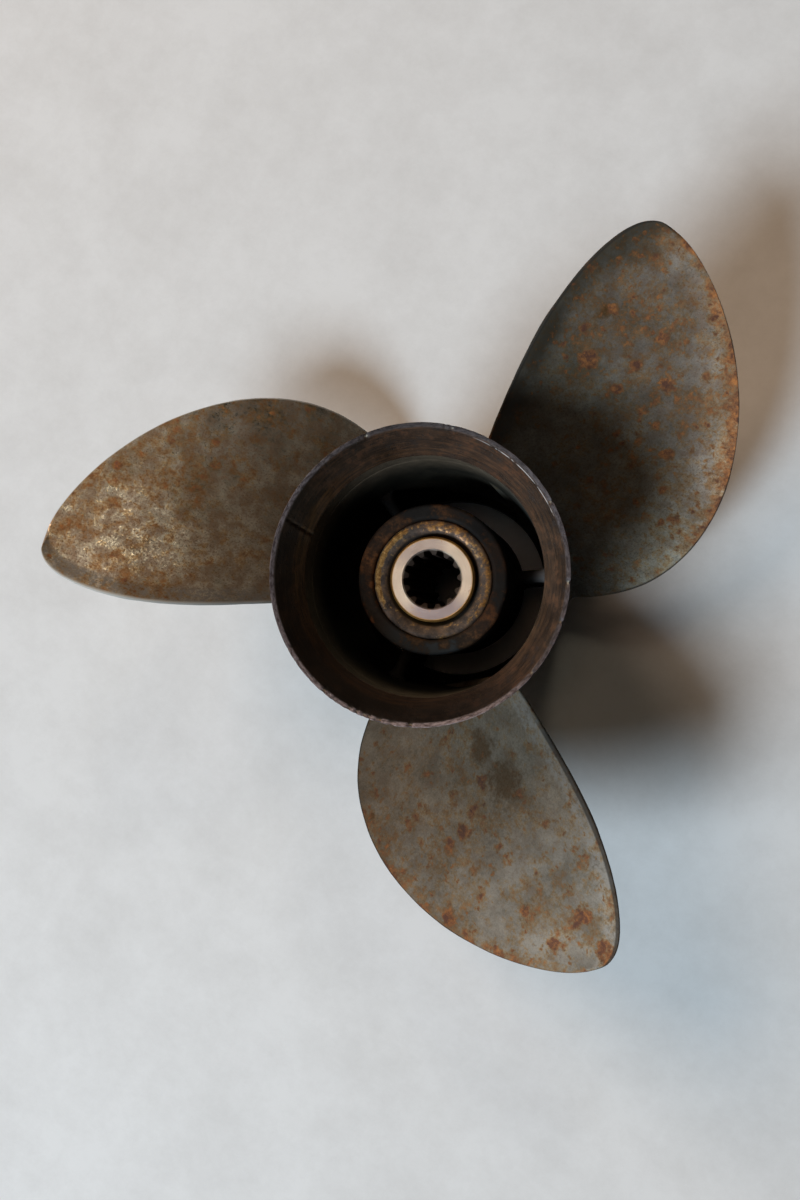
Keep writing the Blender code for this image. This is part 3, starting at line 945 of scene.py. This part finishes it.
def make_blade_finish(
    name, offset, base_rust, film, edge_rust, freckled, tip_freckles, spot_strength, rust_brightness,
    evenness, specks, trailing_shade_amount, cup_colour, cup_share, line_colour, line_extra, metal, gloss,
    root_tone, tone, painted_light_along_span, edge_light, rust_spots, dark_spots,
):
    material, r, shader, place = new_material(name)
    moved = r.vector("ADD", place, offset)
    lead, trail, span = [r.attribute(note) for note in ("from_leading", "from_trailing", "span")]
    wobble = r.sway(0.030, moved, 75.0, 5.0, 0.6)

    near_lead = r.times(r.step(r.plus(lead, wobble), *RUST_BAND, 1.0, 0.0), r.step(span, 0.46, 0.62))
    amount = r.plus(base_rust, r.times(near_lead, edge_rust), r.step(span, 0.60, 0.30, 0.0, -0.07))
    outer = r.times(r.step(span, 0.25, 0.95), tip_freckles)
    share = r.plus(freckled, outer, r.sway(1.6, moved, 33.0))
    for scale, size, weight in FRECKLES:
        spots = r.group(freckles, Vector=moved, Scale=scale, Size=size, Share=share)["Mask"]
        amount = r.plus(amount, r.times(spots, weight * spot_strength))
    amount = r.plus(amount, r.times(marks(r, place, rust_spots), 0.36 * spot_strength))

    grain = r.group(pitted_grain, Vector=moved, Fineness=1.0)
    cast = r.group(cast_steel, Vector=moved, Dirt=film)
    steel = r.mix(evenness, cast["Color"], EVEN_COLOUR)
    steel = r.mix(1.0, steel, r.mix(r.step(span, 0.35, 0.65), root_tone, tone), "MULTIPLY")
    lit_edge = r.times(r.step(lead, *LIT_BAND), r.step(span, 0.15, 0.35))
    steel = r.dim(steel, r.plus(1.0, r.times(lit_edge, edge_light)))
    speckled = r.step(grain["Grain"], 0.48, 0.36, 0.0, specks)
    cup = r.step(r.plus(trail, r.times(wobble, 0.10)), *CUP_BAND, 1.0, 0.0)
    rubbed = r.times(cup, cup_share, r.step(cast["Mottle"], 0.40, 0.56))
    # Painted shade: a band along the trailing edge, where the cupped face turns away from the lamp, is
    # darkened.
    painted_band_shade = r.times(r.step(r.plus(trail, wobble), *TRAILING_SHADE_BAND, 1.0, 0.0), trailing_shade_amount)
    dark = r.times(marks(r, place, dark_spots), 0.84)
    for part, colour in ((speckled, SPECK_COLOUR), (rubbed, cup_colour), (painted_band_shade, TRAILING_SHADE_COLOUR),
                         (dark, MARK_COLOUR)):
        steel = r.mix(part, steel, colour)

    brightness = r.blend(near_lead, rust_brightness, rust_brightness * (1.0 + 1.4 * edge_rust))
    bloom = r.group(rust_bloom, Vector=moved, Metal=steel, Amount=amount, Brightness=brightness)
    # A thin line along both rounded edges: painted shade where its colour is dark, a painted highlight
    # where it is light.
    line = r.step(r.maths("MINIMUM", lead, r.minus(trail, line_extra)), *LINE_BAND)
    line = r.times(line, r.step(span, 0.10, 0.25))
    # Painted light along the span: darker at the root and lighter towards the tip, which paints the
    # barrel's shadow on the first blade and a highlight near the second blade's tip.
    colour = r.dim(r.mix(r.times(line, 0.85), bloom["Color"], line_colour), r.step(span, *painted_light_along_span))
    worn = r.most(bloom["Rust"], r.times(cast["Film"], 0.4), painted_band_shade, line,
                  r.times(speckled, 0.5), r.times(cup, 0.5))
    metallic = r.blend(worn, r.step(span, 0.25, 0.60, metal * 0.6, metal), 0.05)
    rough = r.plus(r.step(grain["Grain"], 0.60, 0.42, gloss, gloss + 0.24),
                   r.step(span, 0.60, 0.20, 0.0, 0.2))
    height = r.plus(grain["Grain"], r.times(bloom["Height"], 0.8))
    shader.inputs["Specular IOR Level"].default_value = 0.35
    r.surface(shader, colour, metallic, r.blend(worn, rough, 0.72), height, 0.22, 0.00012)
    return material


print("blade finish ready")

# %% [markdown]
# The first blade is the rustiest, and its trailing edge carries a band of painted shade. The second is
# the most metallic and the glossiest, has the least rust, and is painted much lighter towards the tip as
# a highlight. The third is rusty near the tip and browner at the root. The spots and marks that have a
# place of their own are given as (x, y, z, radius) in metres.

# %% Three blades, three looks
CUP_LIGHT = (0.320, 0.310, 0.290)
CUP_GREY = (0.118, 0.114, 0.106)
PAINTED_EDGE_SHADE = (0.020, 0.017, 0.013)
PAINTED_EDGE_HIGHLIGHT = (0.200, 0.195, 0.180)
BLADE_LOOKS = {
    "offset": [(0.31, 0.12, 0.0), (0.02, 0.43, 0.1), (0.55, 0.27, 0.2)],
    "base_rust": [0.445, 0.40, 0.405],
    "film": [0.06, 0.08, 0.03],
    "edge_rust": [0.32, 0.04, 0.14],
    "freckled": [0.80, 0.55, 0.80],
    "tip_freckles": [0.25, 0.0, 0.40],
    "spot_strength": [1.25, 0.8, 1.35],
    "rust_brightness": [1.05, 0.56, 0.84],
    "evenness": [0.25, 0.0, 0.30],
    "specks": [0.50, 0.85, 0.15],
    "trailing_shade_amount": [0.98, 0.0, 0.0],
    "cup_colour": [CUP_LIGHT, CUP_GREY, CUP_LIGHT],
    "cup_share": [0.3, 0.85, 0.6],
    "line_colour": [PAINTED_EDGE_SHADE, PAINTED_EDGE_HIGHLIGHT, PAINTED_EDGE_SHADE],
    "line_extra": [0.0, 0.0, 0.0008],
    "metal": [0.65, 0.90, 0.50],
    "gloss": [0.42, 0.24, 0.50],
    "root_tone": [(0.96, 1.00, 0.98), (0.94, 0.90, 0.84), (1.14, 1.02, 0.90)],
    "tone": [(1.04, 0.93, 0.91), (1.00, 1.01, 1.05), (0.98, 0.97, 0.98)],
    "painted_light_along_span": [(0.15, 0.80, 0.52, 1.04), (0.20, 0.90, 0.80, 2.75), (0.30, 1.0, 0.46, 1.16)],
    "edge_light": [0.75, 0.0, -0.15],
    "rust_spots": [[
        (0.0119, 0.1132, 0.0915, 0.0055), (0.0463, 0.1215, 0.0800, 0.0045),
        (0.0312, 0.1223, 0.0861, 0.0030), (0.0274, 0.1105, 0.0828, 0.0035),
        (0.0255, 0.1396, 0.0955, 0.0025), (0.0599, 0.0989, 0.0644, 0.0040),
    ], [
        (-0.1459, -0.0416, 0.0942, 0.0035), (-0.1272, 0.0050, 0.0664, 0.0030),
        (-0.1199, -0.0051, 0.0697, 0.0035), (-0.1144, -0.0436, 0.0908, 0.0030),
        (-0.1549, -0.0273, 0.0889, 0.0030),
    ], [
        (0.0615, -0.0677, 0.0721, 0.0035), (0.0655, -0.0910, 0.0710, 0.0040),
        (0.0790, -0.1262, 0.0771, 0.0035), (0.1247, -0.0880, 0.1049, 0.0050),
        (0.1212, -0.1051, 0.1006, 0.0035), (0.1392, -0.0940, 0.1121, 0.0060),
    ]],
    "dark_spots": [[(0.0094, 0.1329, 0.0999, 0.0045)], [], [
        (0.0704, -0.0612, 0.0797, 0.0120), (0.0535, -0.0553, 0.0697, 0.0090),
        (0.0240, -0.1138, 0.0461, 0.0024),
    ]],
}
blade_finishes = [
    make_blade_finish(f"steel_blade_{i + 1}", **{key: each[i] for key, each in BLADE_LOOKS.items()})
    for i in range(3)
]
print("blade finishes:", len(blade_finishes))

# %% [markdown]
# The round pieces change colour with where they face and how far they are from the shaft's line; by side
# they carry rust, and painted light and shade. Rings are a noise that changes fast along the shaft and
# slowly round it. A sector is one side of it.

# %% Places round the shaft
def shaft_place(r, place):
    """The direction from the shaft's line, the distance from it, and the height."""
    parts = r.add("ShaderNodeSeparateXYZ", {"Vector": place}).outputs
    flat_place = r.add("ShaderNodeCombineXYZ", {"X": parts["X"], "Y": parts["Y"]}).outputs["Vector"]
    return r.vector("NORMALIZE", flat_place), r.vector("LENGTH", flat_place), parts["Z"]


def ring_noise(r, place, round_scale, along_scale, detail, roughness):
    """A noise that changes slowly round the shaft and fast along it and away from it."""
    facing, radius, height = shaft_place(r, place)
    around = r.vector("MULTIPLY", facing, (round_scale, round_scale, 0.0))
    along = r.times(r.plus(height, radius), along_scale)
    up = r.add("ShaderNodeCombineXYZ", {"Z": along}).outputs["Vector"]
    return r.noise(r.vector("ADD", around, up), 1.0, detail, roughness)


def sector(r, facing, middle, width):
    """1 towards one side of the shaft, and 0 further than width degrees from it."""
    side = (math.cos(math.radians(middle)), math.sin(math.radians(middle)), 0.0)
    towards = r.vector("DOT_PRODUCT", facing, side)
    return r.step(towards, math.cos(math.radians(width)), math.cos(math.radians(width * 0.4)))


def sides(r, colour, facing, *tones):
    """A colour made lighter or darker towards several sides of the shaft, as painted light and shade,
    each (middle, width, factor).
    """
    for middle, width, factor in tones:
        colour = r.mix(sector(r, facing, middle, width), colour, factor, "MULTIPLY")
    return colour


print("shaft places ready")

# %% [markdown]
# Exhaust leaves soot and heat stains. In the bore the soot is thick and olive-black, with a smoother
# grey-green skin near the mouth. On the flare's cone it is rubbed off in rings, and brown rust shows
# through, most on the inner edge. The rim and the mouth's edge are rubbed to bare nicked metal. Light
# and shade are painted in by side as well, and a painted glint runs along part of the rim's inner edge.

# %% Sooted casting finish
LEFT_SIDE = (240.0, 115.0)  # middle and width in degrees
LOW_SIDE = (285.0, 75.0)
CONE_SLOPE = 0.681
BORE_WALL = BORE_AFT + 0.0010
GLINT_RADIUS = RIM_RADIUS - RIM_WIDTH - 0.0002


def bore_colour(r, facing, height, patches, blots):
    soot = r.tint(patches, (0.35, (0.007, 0.007, 0.005)), (0.7, (0.028, 0.026, 0.019)))
    skin = r.tint(blots, (0.3, (0.072, 0.062, 0.046)), (0.7, (0.138, 0.118, 0.088)))
    # Painted light and shade: the bore is darker towards one side and lighter towards two others.
    return sides(
        r, r.mix(r.step(height, 0.110, 0.080), skin, soot), facing, (25.0, 60.0, (0.45, 0.60, 0.78)),
        (125.0, 50.0, (1.20, 1.06, 0.98)), (245.0, 80.0, (1.05, 1.10, 1.10)),
    )


def cone_colour(r, facing, above, streaks, patches, blots, pits):
    left_side = sector(r, facing, *LEFT_SIDE)
    brown = r.tint(
        r.plus(r.times(streaks, 0.65), r.times(patches, 0.35)),
        (0.38, (0.016, 0.009, 0.006)), (0.47, (0.041, 0.022, 0.013)), (0.54, (0.068, 0.034, 0.018)),
        (0.62, (0.115, 0.060, 0.032)),
    )
    brown = r.mix(r.step(blots, 0.50, 0.70, 0.0, 0.75), brown, (0.130, 0.054, 0.024))
    brown = r.mix(r.step(blots, 0.44, 0.32, 0.0, 0.7), brown, (0.044, 0.034, 0.034))
    # An orange band round the cone's inner edge is partly rust and partly painted light, where the
    # rounded edge catches it; it is stronger on the left.
    orange = r.mix(r.step(streaks, 0.35, 0.65), (0.034, 0.017, 0.008), (0.110, 0.052, 0.021))
    edge_zone = r.step(r.plus(above, r.times(r.minus(patches, 0.5), 0.006)), 0.0062, 0.0030)
    brown = r.mix(r.times(edge_zone, r.blend(left_side, 0.35, 0.75)), brown, orange)
    # Painted shade: the cone's outer band is darkened on its left, which faces away from the main lamp,
    # and the whole cone on its low side; the other sides are toned lighter or darker as painted light
    # and shade.
    painted_left_shade = r.times(left_side, r.step(above, 0.0045, 0.0065), 0.65)
    brown = r.mix(painted_left_shade, brown, (0.020, 0.014, 0.012))
    brown = r.dim(brown, r.blend(sector(r, facing, *LOW_SIDE), 1.0, 0.34))
    brown = sides(
        r, brown, facing, (120.0, 100.0, (0.88, 0.76, 0.60)), (160.0, 40.0, (0.80, 0.80, 0.72)),
        (30.0, 55.0, (0.82, 0.92, 0.98)), (205.0, 45.0, (1.12, 1.22, 1.12)),
    )
    return r.mix(r.times(pits, 0.8), brown, (0.010, 0.008, 0.007))


def bare_metal_and_painted_light(r, facing, place):
    bare = r.tint(ring_noise(r, place, 26.0, 900.0, 4.0, 0.6),
                  (0.38, (0.034, 0.025, 0.025)), (0.64, (0.110, 0.092, 0.096)))
    # Painted light: the bare rim is darker on one side and lighter on its left and low side.
    bare = sides(r, bare, facing, (115.0, 55.0, (0.66, 0.60, 0.56)))
    left_side, low_side = sector(r, facing, *LEFT_SIDE), sector(r, facing, *LOW_SIDE)
    return r.dim(bare, r.plus(r.blend(left_side, 0.8, 1.7), r.times(low_side, 1.2)))


def make_sooted_finish():
    material, r, shader, place = new_material("sooted_casting")
    facing, radius, height = shaft_place(r, place)
    streaks = ring_noise(r, place, 4.5, 900.0, 6.0, 0.68)
    patches = r.noise(place, 95.0, 7.0, 0.68)
    blots = r.noise(place, 190.0, 5.0, 0.64)
    grain = r.group(pitted_grain, Vector=place, Fineness=0.9)
    cast = r.group(cast_steel, Vector=place, Dirt=0.04)
    outside = r.group(rust_bloom, Vector=place, Metal=cast["Color"], Amount=0.36, Brightness=1.0)

    above = r.minus(height, mouth_end)
    cone_wall = r.plus(r.times(above, CONE_SLOPE), BORE_WALL)
    in_mouth = r.times(r.step(above, -0.0006, 0.0002), r.step(r.minus(cone_wall, radius), 0.0, 0.0004))
    in_bore = r.times(r.step(radius, BORE_WALL, BORE_WALL - 0.0004), r.step(above, 0.0004, -0.0002))
    rim = r.step(height, RIM_HEIGHT - 0.0010, RIM_HEIGHT - 0.0005)
    rubbed = r.times(
        r.step(r.off(above, 0.0), 0.0004, 0.0001), r.step(streaks, 0.44, 0.58),
        r.step(radius, BORE_WALL + 0.0003, BORE_WALL - 0.0001),
    )
    glint = r.times(
        r.step(r.off(radius, GLINT_RADIUS), 0.00022, 0.00005), sector(r, facing, 70.0, 30.0),
        r.step(height, RIM_HEIGHT - 0.0025, RIM_HEIGHT - 0.0015), r.step(blots, 0.46, 0.56),
    )

    colour = r.mix(in_bore, outside["Color"], bore_colour(r, facing, height, patches, blots))
    cone = cone_colour(r, facing, above, streaks, patches, blots, grain["Pits"])
    colour = r.mix(in_mouth, colour, cone)
    colour = r.mix(r.most(rim, r.times(rubbed, 0.5)), colour, bare_metal_and_painted_light(r, facing, place))
    colour = r.mix(r.times(glint, 0.7), colour, (0.80, 0.76, 0.74))
    clean = r.minus(1.0, r.most(outside["Rust"], in_bore, in_mouth))
    metal = r.blend(clean, r.blend(r.most(rim, rubbed), 0.15, 0.60), 0.65)
    rough = r.step(patches, 0.35, 0.65, 0.50, 0.75)
    for part, value in ((in_bore, 0.50), (rubbed, 0.36), (rim, 0.58), (glint, 0.30)):
        rough = r.blend(part, rough, value)
    r.surface(shader, colour, metal, rough, r.plus(r.times(streaks, 1.2), grain["Height"]), 0.5, 0.0002)
    return material


sooted = make_sooted_finish()
print("finish:", sooted.name)

# %% [markdown]
# The hub and the ribs sit in the exhaust too. Their finish is browner and more mottled, because the heat
# keeps them dry and the rust on them is baked. The hub's end is painted lighter and darker by side, as
# light and shade, and the outer end of one rib is painted lighter where light reaches it.

# %% Baked hub finish
HUB_SOOT = (0.0885, 0.080)
RIB_LIGHT_RADII = (0.0405, 0.0475)
RIB_LIGHT_HEIGHTS = (0.050, 0.060)


def make_hub_finish():
    material, r, shader, place = new_material("baked_hub")
    facing, radius, height = shaft_place(r, place)
    patches = r.noise(place, 150.0, 7.0, 0.70)
    dark = r.mix(r.noise(place, 600.0, 4.0, 0.68), (0.002, 0.002, 0.002), (0.022, 0.017, 0.015))
    # Painted light: the dark base is lighter on the low side.
    dark = r.mix(r.times(sector(r, facing, 300.0, 60.0), 0.6), dark, (0.034, 0.031, 0.029))
    brown = r.tint(patches, (0.38, (0.007, 0.004, 0.003)), (0.52, (0.026, 0.013, 0.007)),
                   (0.64, (0.080, 0.034, 0.015)))
    baked = r.most(sector(r, facing, 175.0, 65.0), sector(r, facing, 345.0, 45.0))
    rusty = r.step(r.plus(r.noise(place, 75.0, 5.0, 0.62), r.times(baked, 0.10)), 0.50, 0.60)
    # Painted light and shade: the end is darker towards one side and toned lighter, warmer or cooler
    # towards others.
    colour = r.dim(r.mix(rusty, dark, brown), r.blend(sector(r, facing, 45.0, 60.0), 1.2, 0.40))
    colour = sides(
        r, colour, facing, (210.0, 50.0, (1.75, 1.50, 1.20)), (120.0, 45.0, (0.85, 0.82, 0.75)),
        (300.0, 50.0, (0.80, 1.08, 1.30)), (30.0, 50.0, (1.05, 0.95, 0.78)),
    )
    colour = r.mix(r.step(height, *HUB_SOOT, 0.0, 0.8), colour, (0.010, 0.009, 0.008))
    # Painted light: the outer end of the rib that the light reaches is lightened, and the other ribs
    # only faintly.
    painted_rib_light = r.times(r.step(radius, *RIB_LIGHT_RADII), r.step(height, *RIB_LIGHT_HEIGHTS),
                      r.blend(sector(r, facing, RIB_TURN, 30.0), 0.08, 1.0))
    colour = r.mix(painted_rib_light, colour, (0.150, 0.145, 0.145))
    shader.inputs["Specular IOR Level"].default_value = 0.15
    rough = r.step(patches, 0.3, 0.7, 0.62, 0.90)
    r.surface(shader, colour, 0.0, rough, r.noise(place, 500.0, 5.0, 0.6), 0.5, 0.0003)
    return material


baked_hub = make_hub_finish()
print("finish:", baked_hub.name)

# %% [markdown]
# Old rubber next to bronze turns golden brown with grease and fine bronze dust. It is lumpy, so small
# glints show on it. The broken golden arcs on the raised middle of the ring are partly that dust and
# partly a painted sheen, on the sides where the dome catches the light. The rubber is painted lighter on
# one side and darker on others, and the groove next to the sleeve is painted dark as shade.

# %% Aged rubber finish
OUTER_ARCS = 0.0243
WIDE_ARC = 0.0232
PAINTED_GROOVE_SHADE = (0.0208, 0.0199)


def make_rubber_finish():
    material, r, shader, place = new_material("greasy_rubber")
    facing, radius, height = shaft_place(r, place)
    arcs = ring_noise(r, place, 6.0, 420.0, 5.0, 0.66)
    patches = r.noise(place, 190.0, 7.0, 0.70)
    fine = r.noise(place, 620.0, 4.0, 0.68)
    dull = r.tint(patches, (0.36, (0.020, 0.013, 0.010)), (0.50, (0.056, 0.036, 0.024)),
                  (0.64, (0.115, 0.066, 0.036)))
    sheen_and_dust_tone = r.tint(fine, (0.36, (0.135, 0.062, 0.016)), (0.52, (0.260, 0.134, 0.034)),
                  (0.66, (0.440, 0.265, 0.088)))
    # The arcs sit on chosen sides, as a painted sheen where the dome catches the light, mixed with dust.
    outer = r.times(r.step(r.off(radius, OUTER_ARCS), 0.0018, 0.0004),
                    r.most(sector(r, facing, 192.0, 60.0), sector(r, facing, 20.0, 50.0)))
    wide = r.times(r.step(r.off(radius, WIDE_ARC), 0.0032, 0.0012), sector(r, facing, 92.0, 50.0))
    golden = r.most(outer, wide)
    left_arc = r.times(golden, sector(r, facing, 195.0, 70.0))
    sheen_and_dust_mask = r.step(r.plus(r.times(arcs, 0.6), r.times(fine, 0.4), r.times(golden, 0.12),
                          r.times(left_arc, 0.20)), 0.52, 0.70)
    # Painted light and shade: lighter and cooler on one side, darker and warmer on two others.
    colour = sides(
        r, r.mix(sheen_and_dust_mask, dull, sheen_and_dust_tone), facing, (210.0, 55.0, (1.30, 1.38, 1.60)),
        (110.0, 50.0, (1.02, 0.84, 0.70)), (25.0, 50.0, (0.82, 0.73, 0.64)),
    )
    # Painted shade in the groove next to the sleeve.
    colour = r.mix(r.step(radius, *PAINTED_GROOVE_SHADE), colour, (0.010, 0.008, 0.006))
    rough = r.blend(sheen_and_dust_mask, r.step(patches, 0.35, 0.65, 0.75, 0.55), 0.36)
    r.surface(shader, colour, r.times(sheen_and_dust_mask, 0.4), rough, r.noise(place, 300.0), 0.6, 0.0005)
    return material


greasy_rubber = make_rubber_finish()
print("finish:", greasy_rubber.name)

# %% [markdown]
# The sleeve's end is rubbed bright by the washer and scored in rings, and two sides of it are painted
# darker, as shade where the scored rings don't catch the main lamp. Its chamfer keeps a golden rim, and
# inside the bore the bronze is dark with old grease, lighter on the teeth near the end as painted light.

# %% Bronze finish
GOLDEN_RIM = (0.0172, 0.0178)
BORE_START = (SLEEVE_AFT - 0.0003, SLEEVE_AFT - 0.0008)
BORE_SIDE = (0.0140, 0.0136)
LIT_DEPTH = (0.086, SLEEVE_AFT)


def make_bronze_finish():
    material, r, shader, place = new_material("rubbed_bronze")
    facing, radius, height = shaft_place(r, place)
    scores = ring_noise(r, place, 2.0, 3400.0, 3.0, 0.6)
    patches = r.noise(place, 260.0, 6.0, 0.66)
    bright = r.mix(scores, (0.92, 0.70, 0.54), (1.0, 0.88, 0.70))
    # Painted shade on two sides of the end, where the scored rings don't catch the main lamp.
    painted_shade_sides = r.most(r.times(sector(r, facing, 140.0, 55.0), 0.6), sector(r, facing, 308.0, 62.0))
    bright = r.mix(painted_shade_sides, bright, (0.48, 0.39, 0.38))
    bright = r.mix(r.step(patches, 0.58, 0.70), bright, (0.66, 0.42, 0.26))
    golden = r.mix(patches, (0.40, 0.19, 0.05), (0.86, 0.52, 0.18))
    dark = r.mix(patches, (0.016, 0.011, 0.009), (0.055, 0.036, 0.026))
    dark = r.mix(r.step(height, *LIT_DEPTH), dark, (0.070, 0.047, 0.035))
    bore = r.times(r.step(height, *BORE_START), r.step(radius, *BORE_SIDE))
    colour = r.mix(bore, r.mix(r.step(radius, *GOLDEN_RIM), bright, golden), dark)
    rough = r.blend(bore, r.step(patches, 0.3, 0.7, 0.40, 0.50), 0.6)
    r.surface(shader, colour, r.blend(bore, 1.0, 0.5), rough, scores, 0.6, 0.00012)
    return material


rubbed_bronze = make_bronze_finish()
print("finish:", rubbed_bronze.name)

# %% [markdown]
# The floor is plain and pale, with faint smudges so that it isn't a flat colour.

# %% Floor
bpy.ops.object.select_all(action="DESELECT")
bpy.ops.mesh.primitive_plane_add(size=6.0, location=(0, 0, -0.0002))
floor = bpy.context.object
floor.name = floor.data.name = "studio_floor"
floor_material, r, shader, place = new_material("pale_floor")
smudge = r.noise(place, 16.0, 9.0, 0.78)
pale = r.tint(smudge, (0.35, (0.685, 0.680, 0.675)), (0.60, (0.765, 0.765, 0.765)))
r.plug(pale, shader.inputs["Base Color"])
shader.inputs["Roughness"].default_value = 0.6
floor.data.materials.append(floor_material)
print("floor", round(floor.dimensions.x, 1), "m wide")

# %% [markdown]
# Last, each new piece gets its finish and rides on the one body of the object, and the solids it stands
# for are hidden.

# %% Put it together
def dress(piece, material, slot, *nodes):
    piece.data.materials.clear()
    piece.data.materials.append(material)
    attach(piece, "root")
    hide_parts(*nodes)


dress(barrel, sooted, "sooted_steel", "barrel")
dress(flare, sooted, "sooted_steel", "exhaust_flare")
dress(hub, baked_hub, "sooted_steel", "inner_hub")
dress(bushing, greasy_rubber, "aged_rubber", "rubber_bushing")
dress(sleeve, rubbed_bronze, "worn_bronze", "drive_sleeve")
for i, rib in enumerate(ribs):
    dress(rib, baked_hub, "sooted_steel", f"rib_{i + 1}")
for i, blade in enumerate(blades):
    dress(blade, blade_finishes[i], "rust_speckled_steel", f"blade_{i + 1}")

# %% [markdown]

bpy.context.view_layer.update()
